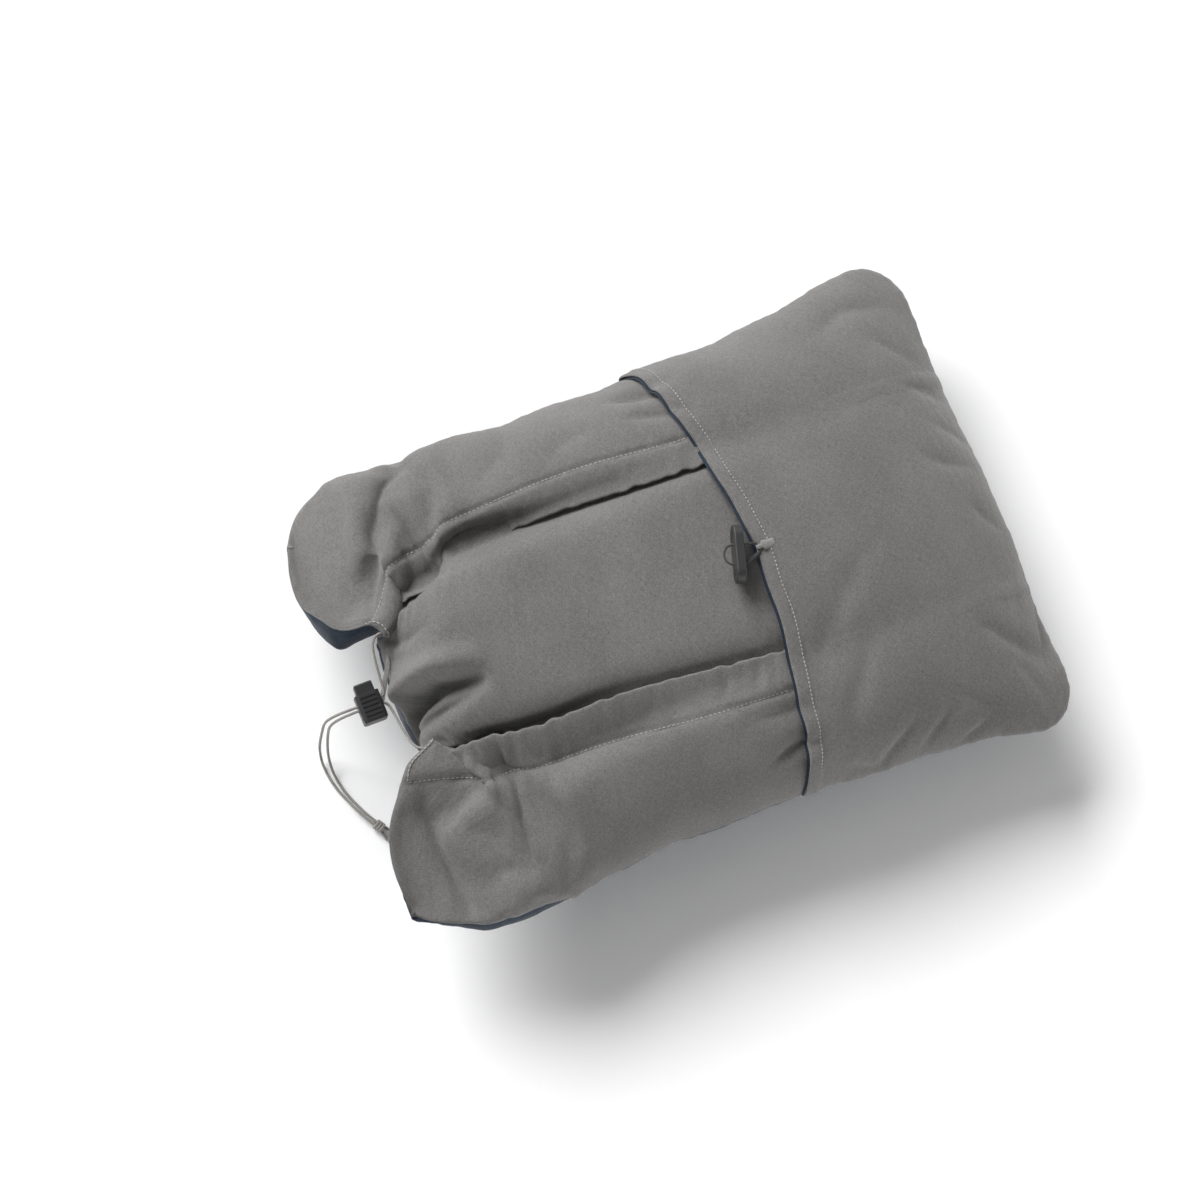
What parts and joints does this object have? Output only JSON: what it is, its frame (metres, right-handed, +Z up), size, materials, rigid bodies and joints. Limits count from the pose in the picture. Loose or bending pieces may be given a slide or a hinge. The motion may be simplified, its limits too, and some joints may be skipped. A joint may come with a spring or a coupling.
{
  "type": "camp pillow",
  "caption": "Soft foam-filled camp pillow with a drawcord that gathers one end through a push-button cord lock, and a lined stow pocket with a toggle at the other end.",
  "frame": {"origin": "on the floor under the middle of the pillow, which lies on its sleeping face", "axes": "+X towards the end with the pocket, +Y across the pillow to the side that the lock's button points to, +Z up out of the back. Left means +Y, as seen facing the pocket end."},
  "size_m": [0.5272, 0.378, 0.1543],
  "materials": {
    "back_cloth": "fine matt grey polyester weave",
    "face_cloth": "soft brushed navy knit",
    "lining_cloth": "thin navy woven lining",
    "foam": "shredded soft foam",
    "cord": "thin braided grey cord",
    "elastic": "thin braided elastic cord",
    "webbing": "narrow light grey woven tape",
    "thread": "grey sewing thread, closely packed",
    "lock_plastic": "fine moulded matt black",
    "toggle_plastic": "moulded satin dark grey",
    "spring_steel": "bright spring wire"
  },
  "bodies": {
    "pillow": {"face_panel": "face_cloth", "back_centre_panel": "back_cloth", "back_side_panel_left": "back_cloth", "back_side_panel_right": "back_cloth", "tunnel_facing_left": "lining_cloth", "tunnel_facing_right": "lining_cloth", "foam_fill": "foam", "pocket_panel": "back_cloth", "pocket_lining": "lining_cloth", "pocket_hem": "back_cloth", "drawcord_run_left": "cord", "drawcord_run_right": "cord", "drawcord_left_end": "cord", "drawcord_right_end": "cord", "cord_knot": "cord", "cord_anchor_left": "thread", "cord_anchor_right": "thread", "lock_body": "lock_plastic", "lock_spring": "spring_steel", "lock_tab": "webbing", "toggle_bartack": "thread"},
    "lock_button": {"lock_button": "lock_plastic"},
    "toggle": {"toggle_bar": "toggle_plastic", "toggle_loop": "elastic"}
  },
  "joints": [
    {"name": "button_press", "type": "slide", "parent": "pillow", "child": "lock_button", "axis": [0, -1, 0], "range_m": [0, 0.0045], "stiffness_N_per_m": 400, "springref_m": -0.002, "deforming": ["lock_spring"]},
    {"name": "toggle_swing", "type": "hinge", "parent": "pillow", "child": "toggle", "pos_m": [0.0638, 0, 0.1453], "axis": [0, 1, 0], "range_deg": [0, 120]}
  ]
}
